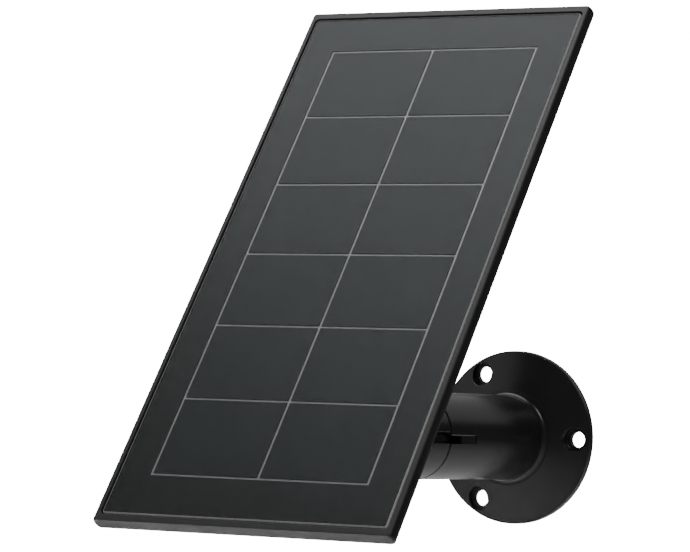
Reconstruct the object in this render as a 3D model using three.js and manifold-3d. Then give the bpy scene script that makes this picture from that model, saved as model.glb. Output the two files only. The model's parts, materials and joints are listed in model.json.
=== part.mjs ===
// Solar charging panel on an adjustable wall mount.
//
// Frame: origin at the centre of the wall flange's back face, +Z up, +Y into the wall, -Y out of it.
// All sizes are in millimetres.
//
//   wall_bracket  flange and hollow arm, fixed to the wall
//   clamp_head    slit barrel that turns on the arm's end and grips the pivot ball
//   pivot ball    tilts in the head and carries the threaded stud
//   panel         framed sheet of solar cells with an electronics bay behind it

import * as THREE from 'three';
import { mergeVertices } from 'three/addons/utils/BufferGeometryUtils.js';
import Module from 'manifold-3d';

const wasm = await Module();
wasm.setup();

// ---------------------------------------------------------------- driving dimensions

// How many sides a large round, a small round and a fine fastener have.
const ROUND = 40;
const SMALL_ROUND = 20;
const FASTENER_ROUND = 12;

// Pose of the panel: height of its normal above the horizon, and its turn to the right.
const PANEL_TILT = THREE.MathUtils.degToRad(36.5);
const PANEL_YAW = THREE.MathUtils.degToRad(3.37);

// Wall flange. The crown is the ring where its cone meets the fillet of the arm.
const FLANGE_R = 28.7;
const FLANGE_RIM_HEIGHT = 2.7;
const FLANGE_EDGE = 0.5;
const CROWN_R = 15.7;
const CROWN_HEIGHT = 7.0;
const HOLE_CIRCLE_R = 23.8;
const HOLE_COUNT = 3;
const HOLE_R = 2.55;
const HOLE_RECESS_R = 3.9;
const HOLE_FLOOR = 1.9;
const CORE_COUNT = 6;
const CORE_INNER_R = 12.5;
const CORE_OUTER_R = 18.8;
const CORE_DEPTH = 2.2;
const CORE_RIB = THREE.MathUtils.degToRad(9);

// Arm: a tube with a screw column on its axis, open towards the head.
const ARM_R = 13.9;
const ARM_BORE_R = 11.1;
const ARM_FLOOR = 8.0;
const ARM_END = 66.1;
const ARM_CHAMFER = 0.35;
const COLUMN_R = 5.5;
const COLUMN_END = 60.8;
const COLUMN_BORE_R = 3.75;
const COLUMN_BORE_FLOOR = 42.0;
const ARM_SLOT = { width: 2.6, height: -0.9, start: 59.7, grooveStart: 50.5, grooveDepth: 0.7 };

// Swivel between arm and head.
const SCREW_R = 2.4;
const SCREW_HOLE_R = 2.7;
const SCREW_TIP = 44.0;
const SCREW_SEAT = 71.7;
const SCREW_HEAD_R = 4.6;
const SCREW_HEAD_HEIGHT = 3.1;
const SCREW_SOCKET_R = 2.2;
const SWIVEL_INSERT = { outer: 3.6, bore: 2.55, start: 47.0, end: 60.5 };
const SPRING_WASHER = { outer: 4.8, bore: 2.7, start: 70.7, end: 71.5 };
const THRUST_WASHER = { outer: 5.4, bore: 2.7, start: 61.0, end: 61.7 };

// Clamp head, measured along the arm from the wall.
const HEAD_START = 66.7;
const HEAD_SPIGOT_R = 10.85;
const HEAD_SPIGOT_BORE_R = 9.0;
const HEAD_SPIGOT_START = 61.5;
const HEAD_HUB_START = 61.9;
const HEAD_WEB_START = 66.5;
const HEAD_WEB_END = 70.5;
const HEAD_WELL_R = 8.5;
const HEAD_WELL_END = 76.8;
const HEAD_SHOULDER = 87.7;
const HEAD_COLLET_R = 12.75;
const HEAD_COLLET_END = 98.6;
const HEAD_SLIT = { width: 3.5, height: -0.3, floor: 10.95 };

// Ball joint.
const BALL_CENTRE = 96.0;
const BALL_R = 11.0;
const SOCKET_R = 11.15;
const SOCKET_LIP = THREE.MathUtils.degToRad(70);
const NECK_R = 3.9;
const NECK_ROOT_R = 4.5;
const NECK_ROOT_END = 12.2;
const NECK_END = 16.2;
const STUD_R = 3.1;
const STUD_START = 2.4;
const STUD_END = 33.3;
const STUD_BORE_R = 3.25;
const SEAT_START = 79.6;
const SEAT_END = 90.5;
const SEAT_R = 10.85;
const SEAT_SPRING = { outer: 10.8, bore: 6.0, start: 77.1, end: 79.3 };

// Lock ring on the head, and thumb nut on the stud.
const LOCK_RING = { outer: 15.5, bore: 13.05, start: 88.2, end: 98.3, ribs: 18, ribDepth: 0.7 };
const THUMB_NUT = { outer: 10.0, bore: 3.35, start: 17.0, end: 23.2, ribs: 12, ribDepth: 0.9 };
const GRIP_CHAMFER = 0.8;

// Panel frame. Depths behind the front plane are negative z in the panel's own frame.
const FRONT_TO_BALL = 43.3;
const STUD_BELOW_CENTRE = 36.2;
const FRAME_HALF_HEIGHT = 102.2;
const FRAME_FLAT_HALF_WIDTH = 49.35;
const FRAME_SIDE_BULGE = 1.2;
const FRAME_THICKNESS = 4.4;
const FRAME_FLOOR = -2.7;
const POCKET = { halfX: 48.3, halfY: 99.9, y: -0.1, radius: 1.5 };

// Laminate inside the frame.
const SHEET = { inset: 0.8, front: 0.1, back: -0.1 };
const GASKET = { outerInset: 1.0, innerInset: 3.5, front: -1.4, back: -2.6 };
const FILM = { inset: 0.9, front: -0.2, back: -0.4 };
const BACKING = { inset: 0.8, front: -0.5, back: -1.3 };
const CELL_COLUMNS = 2;
const CELL_ROWS = 6;
const CELLS_Y = 0.1;
const CELL_PITCH_X = 36.5;
const CELL_PITCH_Y = 28.27;
const CELL_GAP = 0.86;

// Electronics bay behind the frame, centred on the stud.
const BAY = { halfX: 32.0, halfY: 40.0, radius: 8.0, wall: 1.8, front: -4.9, back: -16.5, edge: 1.6 };
const BAY_SEAL = { front: -4.5, back: -4.8, inset: 0.2, width: 1.3 };
const BOSS_R = 9.0;
const BOSS_END = -19.8;
const TOWER_R = 6.8;
const TOWER_START = -7.4;
const INSERT = { outer: 4.15, bore: 3.3, start: -19.6, end: -9.0, pocket: 4.3, pocketEnd: -8.8 };
const BAY_SCREW = { x: 25.0, y: 33.0, headR: 2.6, shankR: 1.2, seat: -14.8, back: -16.3, tip: -6.2 };
const BAY_POST = { outer: 2.8, bore: 1.35, end: -11.5, floor: -5.2 };
const BAY_COLUMN = { outer: 3.6, bore: 1.7, front: -11.8, recess: 2.9, seat: -14.6 };
const VENT = { x: 19.0, y: -24.0, stemR: 2.8, holeR: 3.0, capR: 5.0, capEnd: -18.2 };

// Charge regulator board in the bay.
const BOARD = { y: 21.0, halfX: 20.0, halfY: 11.0, front: -8.4, back: -9.9, holeR: 1.1 };
const BOARD_POST = { x: 16.0, outer: 2.4, bore: 0.95, end: -8.3, floor: -5.0 };
const BOARD_SCREW = { headR: 1.9, shankR: 0.8, seat: -10.0, back: -11.2, tip: -5.4 };
const TAB = { x: 4.0, halfWidth: 1.2, halfThickness: 0.15, front: -1.45, back: -8.3 };
const TAB_SLOT = { halfX: 7.0, halfY: 2.2 };

// Cable gland in the bay's lower wall, measured down from the outside of that wall.
const GLAND_Z = -9.8;
const GLAND_HOLE_R = 4.25;
const GLAND_BODY = { flangeR: 4.7, flangeTop: 3.4, flangeEnd: 2.1, threadR: 4.0, bore: 2.9, end: -6.0 };
const GLAND_SEAL = { outer: 3.9, bore: 2.15, start: -6.3, end: -8.9 };
const GLAND_NUT = { outer: 5.2, bore: 4.15, mouth: 2.4, start: -0.3, step: -9.2, end: -10.9, taper: 1.2 };

// ---------------------------------------------------------------- solids

const ON_AXIS = 1e-6;
const OVERSHOOT = 0.4;

// Triangles of an indexed geometry, without the flat ones that merging leaves on an axis.
function wholeTriangles(index) {
  const kept = [];
  for (let i = 0; i < index.length; i += 3) {
    const [a, b, c] = index.slice(i, i + 3);
    if (a !== b && b !== c && c !== a) {
      kept.push(a, b, c);
    }
  }
  return kept;
}

// Volume inside a triangle list: negative when its faces point inwards.
function signedVolume(positions, triangles) {
  const corner = (vertex) => new THREE.Vector3().fromArray(positions, 3 * vertex);
  let volume = 0;
  for (let i = 0; i < triangles.length; i += 3) {
    const [a, b, c] = triangles.slice(i, i + 3).map(corner);
    volume += a.dot(b.cross(c)) / 6;
  }
  return volume;
}

// A closed geometry as a solid that can be joined and cut.
function toSolid(geometry) {
  geometry.deleteAttribute('normal');
  geometry.deleteAttribute('uv');
  const merged = mergeVertices(geometry, 1e-4);
  const positions = merged.attributes.position.array;
  const triangles = wholeTriangles(Array.from(merged.index.array));
  if (signedVolume(positions, triangles) < 0) {
    triangles.reverse();
  }
  const mesh = new wasm.Mesh({
    numProp: 3,
    vertProperties: new Float32Array(positions),
    triVerts: new Uint32Array(triangles),
  });
  return new wasm.Manifold(mesh);
}

// Solid of revolution about +Z from an outline of [radius, z] points.
function turned(outline, sides = ROUND) {
  const points = outline.map(([radius, z]) => new THREE.Vector2(radius, z));
  if (outline[0][0] > ON_AXIS) {
    points.push(points[0].clone());
  }
  return toSolid(new THREE.LatheGeometry(points, sides).rotateX(Math.PI / 2));
}

// Points on an arc in the [radius, z] plane, angles in radians from the radius axis.
function arc(centreR, centreZ, radius, from, to, steps) {
  const points = [];
  for (let i = 0; i <= steps; i++) {
    const angle = from + ((to - from) * i) / steps;
    points.push([centreR + radius * Math.cos(angle), centreZ + radius * Math.sin(angle)]);
  }
  return points;
}

// Straight round rod along +Z.
function rod(radius, z0, z1, x = 0, y = 0, sides = SMALL_ROUND) {
  const height = Math.abs(z1 - z0);
  const geometry = new THREE.CylinderGeometry(radius, radius, height, sides);
  return toSolid(geometry.rotateX(Math.PI / 2).translate(x, y, (z0 + z1) / 2));
}

// Ring along +Z with a round hole.
function ring(outer, bore, z0, z1, sides = ROUND) {
  return turned([[bore, z0], [outer, z0], [outer, z1], [bore, z1]], sides);
}

function box(x0, x1, y0, y1, z0, z1) {
  const geometry = new THREE.BoxGeometry(x1 - x0, y1 - y0, z1 - z0);
  return toSolid(geometry.translate((x0 + x1) / 2, (y0 + y1) / 2, (z0 + z1) / 2));
}

// Flat shape in XY as a plate from z0 up to z1.
function plate(shape, z0, z1, curveSegments = 4) {
  const options = { depth: z1 - z0, bevelEnabled: false, curveSegments };
  return toSolid(new THREE.ExtrudeGeometry(shape, options).translate(0, 0, z0));
}

function roundedRectangle(halfX, halfY, radius, y = 0) {
  const shape = new THREE.Shape();
  shape.absarc(halfX - radius, y + halfY - radius, radius, 0, Math.PI / 2);
  shape.absarc(-halfX + radius, y + halfY - radius, radius, Math.PI / 2, Math.PI);
  shape.absarc(-halfX + radius, y - halfY + radius, radius, Math.PI, 1.5 * Math.PI);
  shape.absarc(halfX - radius, y - halfY + radius, radius, 1.5 * Math.PI, 2 * Math.PI);
  shape.closePath();
  return shape;
}

// Plate with the outline of the frame's pocket, drawn in by an inset.
function pocketPlate(inset, z0, z1) {
  const radius = Math.max(POCKET.radius - inset, 0.4);
  const shape = roundedRectangle(POCKET.halfX - inset, POCKET.halfY - inset, radius, POCKET.y);
  return plate(shape, z0, z1, 2);
}

// Plate with the outline of the electronics bay, drawn in by an inset.
function bayPlate(inset, z0, z1) {
  const { halfX, halfY, radius } = BAY;
  const shape = roundedRectangle(halfX - inset, halfY - inset, radius - inset, -STUD_BELOW_CENTRE);
  return plate(shape, z0, z1);
}

// Grip wheel along +Z: a ribbed rim, a round hole and chamfered ends.
function gripWheel({ outer, bore, start, end, ribs, ribDepth }) {
  const steps = ribs * 3;
  const outline = [];
  for (let i = 0; i < steps; i++) {
    const angle = (2 * Math.PI * i) / steps;
    const radius = outer - ribDepth * (0.5 - 0.5 * Math.cos(ribs * angle));
    outline.push(new THREE.Vector2(radius * Math.cos(angle), radius * Math.sin(angle)));
  }
  const rim = plate(new THREE.Shape(outline), start, end);
  const envelope = turned([
    [bore, start],
    [outer - GRIP_CHAMFER, start],
    [outer + 0.01, start + GRIP_CHAMFER],
    [outer + 0.01, end - GRIP_CHAMFER],
    [outer - GRIP_CHAMFER, end],
    [bore, end],
  ]);
  return rim.intersect(envelope);
}

// Round-headed screw along +Z with its head at the low end.
function panHeadScrew(headR, shankR, back, seat, tip, x, y) {
  const head = rod(headR, back, seat, x, y, FASTENER_ROUND);
  const shank = rod(shankR, seat - OVERSHOOT, tip, x, y, FASTENER_ROUND);
  const driveSlot = box(x - 0.5 * headR, x + 0.5 * headR, y - 0.25, y + 0.25, back - 1, back + 0.5);
  return head.add(shank).subtract(driveSlot);
}

// ---------------------------------------------------------------- meshes

const BLACK = { color: 0x17171a, roughness: 0.42, metalness: 0 };
const BLACK_RUBBER = { color: 0x101012, roughness: 0.85, metalness: 0 };
const NYLON = { color: 0xd8d4c8, roughness: 0.5, metalness: 0 };
const STEEL = { color: 0xa9abad, roughness: 0.35, metalness: 1 };
const DARK_STEEL = { color: 0x3a3b3d, roughness: 0.4, metalness: 1 };
const BRASS = { color: 0xb8964a, roughness: 0.35, metalness: 1 };
const CELL = { color: 0x1c1f22, roughness: 0.3, metalness: 0 };
const FILM_BLACK = { color: 0x191b1c, roughness: 0.4, metalness: 0 };
const LIGHT_GREY = { color: 0x8c9090, roughness: 0.6, metalness: 0 };
const CLEAR = { color: 0xaeb6b6, roughness: 0.12, metalness: 0, transparent: true, opacity: 0.35 };
const BOARD_GREEN = { color: 0x1f4a2c, roughness: 0.5, metalness: 0 };
const COPPER = { color: 0xb87448, roughness: 0.35, metalness: 1 };

// Solid as a named mesh with a material of its own.
function mesh(name, solid, look) {
  const { vertProperties, triVerts } = solid.getMesh();
  const geometry = new THREE.BufferGeometry();
  geometry.setAttribute('position', new THREE.BufferAttribute(vertProperties, 3));
  geometry.setIndex(new THREE.BufferAttribute(triVerts, 1));
  geometry.computeVertexNormals();
  const piece = new THREE.Mesh(geometry, new THREE.MeshStandardMaterial(look));
  piece.name = name;
  return piece;
}

// ---------------------------------------------------------------- wall bracket and swivel

function flangeCores() {
  const cores = [];
  for (let i = 0; i < CORE_COUNT; i++) {
    const start = (2 * Math.PI * i) / CORE_COUNT + CORE_RIB / 2;
    const end = (2 * Math.PI * (i + 1)) / CORE_COUNT - CORE_RIB / 2;
    const shape = new THREE.Shape();
    shape.absarc(0, 0, CORE_OUTER_R, start, end);
    shape.absarc(0, 0, CORE_INNER_R, end, start, true);
    shape.closePath();
    cores.push(plate(shape, -OVERSHOOT, CORE_DEPTH, 5));
  }
  return cores;
}

function flangeHoles() {
  const holes = [];
  for (let i = 0; i < HOLE_COUNT; i++) {
    const angle = (2 * Math.PI * i) / HOLE_COUNT;
    const x = HOLE_CIRCLE_R * Math.cos(angle);
    const y = HOLE_CIRCLE_R * Math.sin(angle);
    const through = rod(HOLE_R, -OVERSHOOT, CROWN_HEIGHT, x, y);
    holes.push(through.add(rod(HOLE_RECESS_R, HOLE_FLOOR, CROWN_HEIGHT, x, y)));
  }
  return holes;
}

function wallBracket() {
  const filletR = CROWN_R - ARM_R;
  const body = turned([
    [0, 0],
    [FLANGE_R - FLANGE_EDGE / 2, 0],
    [FLANGE_R, FLANGE_EDGE / 2],
    [FLANGE_R, FLANGE_RIM_HEIGHT - FLANGE_EDGE],
    [FLANGE_R - FLANGE_EDGE, FLANGE_RIM_HEIGHT],
    ...arc(CROWN_R, CROWN_HEIGHT + filletR, filletR, 1.5 * Math.PI, Math.PI, 4),
    [ARM_R, ARM_END - ARM_CHAMFER],
    [ARM_R - ARM_CHAMFER, ARM_END],
    [ARM_BORE_R, ARM_END],
    [ARM_BORE_R, ARM_FLOOR],
    [COLUMN_R, ARM_FLOOR],
    [COLUMN_R, COLUMN_END],
    [COLUMN_BORE_R, COLUMN_END],
    [COLUMN_BORE_R, COLUMN_BORE_FLOOR],
    [0, COLUMN_BORE_FLOOR],
  ]);
  const { width, height, start, grooveStart, grooveDepth } = ARM_SLOT;
  const low = height - width / 2;
  const high = height + width / 2;
  const outside = ARM_R + OVERSHOOT;
  const slot = box(ARM_BORE_R - OVERSHOOT, outside, low, high, start, ARM_END + OVERSHOOT);
  const groove = box(ARM_R - grooveDepth, outside, low, high, grooveStart, start + OVERSHOOT);
  const cuts = [...flangeHoles(), ...flangeCores(), slot, groove];
  return cuts.reduce((solid, cut) => solid.subtract(cut), body);
}

function swivelScrew() {
  const top = SCREW_SEAT + SCREW_HEAD_HEIGHT;
  const blank = turned([
    [0, SCREW_TIP],
    [SCREW_R - 0.5, SCREW_TIP],
    [SCREW_R, SCREW_TIP + 0.5],
    [SCREW_R, SCREW_SEAT],
    [SCREW_HEAD_R, SCREW_SEAT],
    [SCREW_HEAD_R, top - 1.2],
    [SCREW_HEAD_R - 1.0, top],
    [0, top],
  ], FASTENER_ROUND);
  return blank.subtract(rod(SCREW_SOCKET_R, top - 1.8, top + 1, 0, 0, 6));
}

function washer({ outer, bore, start, end }) {
  return ring(outer, bore, start, end, SMALL_ROUND);
}

// ---------------------------------------------------------------- clamp head and ball joint

function clampHead() {
  const lip = Math.PI / 2 - SOCKET_LIP;
  const body = turned([
    [SCREW_HOLE_R, HEAD_HUB_START],
    [COLUMN_R, HEAD_HUB_START],
    [COLUMN_R, HEAD_WEB_START],
    [HEAD_SPIGOT_BORE_R, HEAD_WEB_START],
    [HEAD_SPIGOT_BORE_R, HEAD_SPIGOT_START],
    [HEAD_SPIGOT_R, HEAD_SPIGOT_START],
    [HEAD_SPIGOT_R, HEAD_START],
    [ARM_R - ARM_CHAMFER, HEAD_START],
    [ARM_R, HEAD_START + ARM_CHAMFER],
    [ARM_R, HEAD_SHOULDER - ARM_CHAMFER],
    [ARM_R - ARM_CHAMFER, HEAD_SHOULDER],
    [HEAD_COLLET_R, HEAD_SHOULDER],
    [HEAD_COLLET_R, HEAD_COLLET_END],
    [HEAD_COLLET_R - 0.9, BALL_CENTRE + SOCKET_R * Math.sin(lip)],
    ...arc(0, BALL_CENTRE, SOCKET_R, lip, 0, 3),
    [SOCKET_R, HEAD_WELL_END],
    [HEAD_WELL_R, HEAD_WELL_END],
    [HEAD_WELL_R, HEAD_WEB_END],
    [SCREW_HOLE_R, HEAD_WEB_END],
  ]);
  const { width, height, floor } = HEAD_SLIT;
  const low = height - width / 2;
  const high = height + width / 2;
  const outside = ARM_R + OVERSHOOT;
  const front = BALL_CENTRE + BALL_R;
  const rightSlit = box(floor, outside, low, high, HEAD_START - OVERSHOOT, front);
  const leftSlit = box(-outside, -floor, low, high, HEAD_START - OVERSHOOT, front);
  return body.subtract(rightSlit).subtract(leftSlit);
}

function ballSeat() {
  const reach = BALL_CENTRE - SEAT_END;
  const rim = -Math.asin(reach / SOCKET_R);
  return turned([
    [0, SEAT_START],
    [SEAT_R, SEAT_START],
    [SEAT_R, SEAT_END],
    ...arc(0, BALL_CENTRE, SOCKET_R, rim, -Math.PI / 2, 6),
  ]);
}

// The ball and its neck, about the ball's own centre with the stud along +Z.
function pivotBall() {
  const neckAngle = Math.acos(NECK_ROOT_R / BALL_R);
  return turned([
    ...arc(0, 0, BALL_R, -Math.PI / 2, neckAngle, 12),
    [NECK_R, NECK_ROOT_END],
    [NECK_R, NECK_END],
    [STUD_BORE_R, NECK_END],
    [STUD_BORE_R, STUD_START - 0.2],
    [0, STUD_START - 0.2],
  ]);
}

function mountStud() {
  return turned([
    [0, STUD_START],
    [STUD_R, STUD_START],
    [STUD_R, STUD_END - 0.8],
    [STUD_R - 0.8, STUD_END],
    [0, STUD_END],
  ], SMALL_ROUND);
}

// ---------------------------------------------------------------- panel

const bayScrewPlaces = [];
for (const sideX of [-1, 1]) {
  for (const sideY of [-1, 1]) {
    bayScrewPlaces.push([sideX * BAY_SCREW.x, sideY * BAY_SCREW.y - STUD_BELOW_CENTRE]);
  }
}
const boardY = BOARD.y - STUD_BELOW_CENTRE;
const boardScrewPlaces = [[-BOARD_POST.x, boardY], [BOARD_POST.x, boardY]];

// Tray with flat cut ends and rounded long sides, open to the front.
function frontFrame() {
  const outline = new THREE.Shape();
  const middle = -FRAME_THICKNESS / 2;
  const halfThickness = FRAME_THICKNESS / 2;
  const right = [FRAME_FLAT_HALF_WIDTH, middle, FRAME_SIDE_BULGE, halfThickness];
  const left = [-FRAME_FLAT_HALF_WIDTH, middle, FRAME_SIDE_BULGE, halfThickness];
  outline.absellipse(...right, -Math.PI / 2, Math.PI / 2);
  outline.absellipse(...left, Math.PI / 2, 1.5 * Math.PI);
  outline.closePath();
  const options = { depth: 2 * FRAME_HALF_HEIGHT, bevelEnabled: false, curveSegments: 8 };
  const bar = new THREE.ExtrudeGeometry(outline, options);
  let tray = toSolid(bar.rotateX(Math.PI / 2).translate(0, FRAME_HALF_HEIGHT, 0));
  tray = tray.subtract(pocketPlate(0, FRAME_FLOOR, OVERSHOOT));

  const back = -FRAME_THICKNESS;
  const { halfX, halfY } = TAB_SLOT;
  tray = tray.subtract(box(-halfX, halfX, boardY - halfY, boardY + halfY, back - 1, FRAME_FLOOR + 1));
  for (const [x, y] of bayScrewPlaces) {
    tray = tray.add(rod(BAY_POST.outer, BAY_POST.end, back + OVERSHOOT, x, y, FASTENER_ROUND));
    tray = tray.subtract(rod(BAY_POST.bore, BAY_POST.end - 1, BAY_POST.floor, x, y, FASTENER_ROUND));
  }
  for (const [x, y] of boardScrewPlaces) {
    tray = tray.add(rod(BOARD_POST.outer, BOARD_POST.end, back + OVERSHOOT, x, y, FASTENER_ROUND));
    tray = tray.subtract(rod(BOARD_POST.bore, BOARD_POST.end - 1, BOARD_POST.floor, x, y, FASTENER_ROUND));
  }
  return tray;
}

function sheetGasket() {
  const { outerInset, innerInset, front, back } = GASKET;
  return pocketPlate(outerInset, back, front)
    .subtract(pocketPlate(innerInset, back - OVERSHOOT, front + OVERSHOOT));
}

// Black film round the cells, with a window that leaves one line width beyond them.
function borderFilm() {
  const halfX = (CELL_COLUMNS * CELL_PITCH_X + CELL_GAP) / 2;
  const halfY = (CELL_ROWS * CELL_PITCH_Y + CELL_GAP) / 2;
  const [y0, y1] = [CELLS_Y - halfY, CELLS_Y + halfY];
  const window = box(-halfX, halfX, y0, y1, FILM.back - OVERSHOOT, FILM.front + OVERSHOOT);
  return pocketPlate(FILM.inset, FILM.back, FILM.front).subtract(window);
}

function solarCells() {
  const halfX = (CELL_PITCH_X - CELL_GAP) / 2;
  const halfY = (CELL_PITCH_Y - CELL_GAP) / 2;
  const cells = [];
  for (let row = 0; row < CELL_ROWS; row++) {
    for (let column = 0; column < CELL_COLUMNS; column++) {
      const x = (column - (CELL_COLUMNS - 1) / 2) * CELL_PITCH_X;
      const y = CELLS_Y + ((CELL_ROWS - 1) / 2 - row) * CELL_PITCH_Y;
      const cell = box(-halfX, halfX, -halfY, halfY, FILM.back, FILM.front);
      const piece = mesh(`solar_cell_${row + 1}_${column + 1}`, cell, CELL);
      piece.position.set(x, y, 0);
      cells.push(piece);
    }
  }
  return cells;
}

// Shell of the bay: rounded at the back, with the stud boss, screw columns and ports.
function rearHousing() {
  const { halfX, halfY, radius, wall, front, back, edge } = BAY;
  const shape = roundedRectangle(halfX, halfY, radius, -STUD_BELOW_CENTRE);
  const options = {
    depth: front + OVERSHOOT - back - edge,
    bevelSize: edge,
    bevelOffset: -edge,
    bevelThickness: edge,
    bevelSegments: 2,
    curveSegments: 4,
  };
  const block = toSolid(new THREE.ExtrudeGeometry(shape, options).translate(0, 0, back + edge));
  const frontTrim = box(-halfX - 1, halfX + 1, -2 * halfY, halfY, front, front + 3);
  let shell = block.subtract(frontTrim).subtract(bayPlate(wall, back + wall, front + OVERSHOOT));

  const y = -STUD_BELOW_CENTRE;
  shell = shell.add(rod(BOSS_R, BOSS_END, back + OVERSHOOT, 0, y));
  shell = shell.add(rod(TOWER_R, back + OVERSHOOT, TOWER_START, 0, y));
  shell = shell.subtract(rod(INSERT.pocket, BOSS_END - 1, INSERT.pocketEnd, 0, y));
  for (const [screwX, screwY] of bayScrewPlaces) {
    const column = rod(BAY_COLUMN.outer, back + OVERSHOOT, BAY_COLUMN.front, screwX, screwY);
    const hole = rod(BAY_COLUMN.bore, back - 1, BAY_COLUMN.front + 1, screwX, screwY, FASTENER_ROUND);
    const recess = rod(BAY_COLUMN.recess, back - 1, BAY_COLUMN.seat, screwX, screwY, FASTENER_ROUND);
    shell = shell.add(column).subtract(hole).subtract(recess);
  }
  shell = shell.subtract(rod(VENT.holeR, back - 1, back + wall + 1, VENT.x, y + VENT.y));
  const glandHole = rod(GLAND_HOLE_R, -wall - 1, wall + 1);
  return shell.subtract(glandHole.rotate([90, 0, 0]).translate([0, y - halfY, GLAND_Z]));
}

function baySeal() {
  const { front, back, inset, width } = BAY_SEAL;
  return bayPlate(inset, back, front).subtract(bayPlate(inset + width, back - 1, front + 1));
}

function regulatorBoard() {
  const { halfX, halfY, front, back, holeR } = BOARD;
  let board = box(-halfX, halfX, boardY - halfY, boardY + halfY, back, front);
  for (const [x, y] of boardScrewPlaces) {
    board = board.subtract(rod(holeR, back - 1, front + 1, x, y, FASTENER_ROUND));
  }
  return board;
}

function ventPlug() {
  const { x, y, stemR, capR, capEnd } = VENT;
  const centreY = y - STUD_BELOW_CENTRE;
  const cap = rod(capR, capEnd, BAY.back - 0.15, x, centreY);
  const stem = rod(stemR, BAY.back - OVERSHOOT, BAY.back + BAY.wall + 0.6, x, centreY);
  return cap.add(stem);
}

// Gland pieces are turned about +Z, with z rising into the bay.
function glandBody() {
  const { flangeR, flangeTop, flangeEnd, threadR, bore, end } = GLAND_BODY;
  return turned([
    [bore, end],
    [threadR - 0.4, end],
    [threadR, end + 0.4],
    [threadR, flangeEnd],
    [flangeR, flangeEnd],
    [flangeR, flangeTop],
    [bore, flangeTop],
  ], SMALL_ROUND);
}

function glandNut() {
  const { outer, bore, mouth, start, step, end, taper } = GLAND_NUT;
  return turned([
    [mouth, end],
    [outer - taper, end],
    [outer, step + taper],
    [outer, start],
    [bore, start],
    [bore, step],
    [mouth, step],
  ], 16);
}

// ---------------------------------------------------------------- assembly

// Pieces that lie on the arm's axis: their own +Z runs out of the wall.
const arm = new THREE.Group();
arm.rotation.x = Math.PI / 2;
arm.add(
  mesh('wall_bracket', wallBracket(), BLACK),
  mesh('swivel_insert', washer(SWIVEL_INSERT), BRASS),
  mesh('swivel_screw', swivelScrew(), STEEL),
  mesh('spring_washer', washer(SPRING_WASHER), STEEL),
  mesh('thrust_washer', washer(THRUST_WASHER), NYLON),
  mesh('clamp_head', clampHead(), BLACK),
  mesh('seat_spring', washer(SEAT_SPRING), BLACK_RUBBER),
  mesh('ball_seat', ballSeat(), NYLON),
  mesh('lock_ring', gripWheel(LOCK_RING), BLACK),
);

const panel = new THREE.Group();
panel.position.set(0, STUD_BELOW_CENTRE, FRONT_TO_BALL);
panel.add(
  mesh('front_frame', frontFrame(), BLACK),
  mesh('front_sheet', pocketPlate(SHEET.inset, SHEET.back, SHEET.front), CLEAR),
  mesh('sheet_gasket', sheetGasket(), BLACK_RUBBER),
  mesh('border_film', borderFilm(), FILM_BLACK),
  mesh('backing_sheet', pocketPlate(BACKING.inset, BACKING.back, BACKING.front), LIGHT_GREY),
  ...solarCells(),
  mesh('rear_housing', rearHousing(), BLACK),
  mesh('bay_seal', baySeal(), BLACK_RUBBER),
  mesh('regulator_board', regulatorBoard(), BOARD_GREEN),
  mesh('vent_plug', ventPlug(), BLACK_RUBBER),
);

bayScrewPlaces.forEach(([x, y], index) => {
  const { headR, shankR, back, seat, tip } = BAY_SCREW;
  panel.add(mesh(`bay_screw_${index + 1}`, panHeadScrew(headR, shankR, back, seat, tip, x, y), DARK_STEEL));
});

boardScrewPlaces.forEach(([x, y], index) => {
  const { headR, shankR, back, seat, tip } = BOARD_SCREW;
  panel.add(mesh(`board_screw_${index + 1}`, panHeadScrew(headR, shankR, back, seat, tip, x, y), STEEL));
});

for (const [name, side] of [['positive', -1], ['negative', 1]]) {
  const { halfWidth, halfThickness, front, back } = TAB;
  const x = side * TAB.x;
  const y0 = boardY - halfThickness;
  const y1 = boardY + halfThickness;
  panel.add(mesh(`cell_tab_${name}`, box(x - halfWidth, x + halfWidth, y0, y1, back, front), COPPER));
}

// Components on the back of the board: [name, solid, look].
const onBoard = BOARD.back - 0.1;
const components = [
  ['inductor', rod(4.0, onBoard - 3.4, onBoard, -8, boardY + 4, 24), DARK_STEEL],
  ['capacitor', rod(2.5, onBoard - 3.9, onBoard, 8, boardY + 6, 24), STEEL],
  ['regulator_chip', box(-1.5, 4.5, boardY - 3, boardY + 3, onBoard - 1.1, onBoard), BLACK],
  ['lead_terminal', box(-5, 5, boardY - 10.2, boardY - 5.2, onBoard - 3.5, onBoard), BOARD_GREEN],
];
for (const [name, solid, look] of components) {
  panel.add(mesh(name, solid, look));
}

const insertRing = ring(INSERT.outer, INSERT.bore, INSERT.start, INSERT.end, SMALL_ROUND);
const studInsert = mesh('threaded_insert', insertRing, BRASS);
studInsert.position.y = -STUD_BELOW_CENTRE;
panel.add(studInsert);

const gland = new THREE.Group();
gland.position.set(0, -STUD_BELOW_CENTRE - BAY.halfY, GLAND_Z);
gland.rotation.x = -Math.PI / 2;
gland.add(
  mesh('gland_body', glandBody(), BLACK),
  mesh('gland_seal', washer(GLAND_SEAL), BLACK_RUBBER),
  mesh('gland_nut', glandNut(), BLACK),
);
panel.add(gland);

// Pieces about the ball's centre: their own +Z is the panel's normal.
const pivot = new THREE.Group();
pivot.position.set(0, -BALL_CENTRE, 0);
pivot.rotation.set(Math.PI / 2 - PANEL_TILT, 0, PANEL_YAW, 'ZYX');
pivot.add(
  mesh('pivot_ball', pivotBall(), NYLON),
  mesh('mount_stud', mountStud(), STEEL),
  mesh('thumb_nut', gripWheel(THUMB_NUT), BLACK),
  panel,
);

const solarPanelMount = new THREE.Group();
solarPanelMount.add(arm, pivot);

export default solarPanelMount;
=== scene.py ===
import json
import math

import bmesh
import bpy
from mathutils import Matrix, Vector


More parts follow.
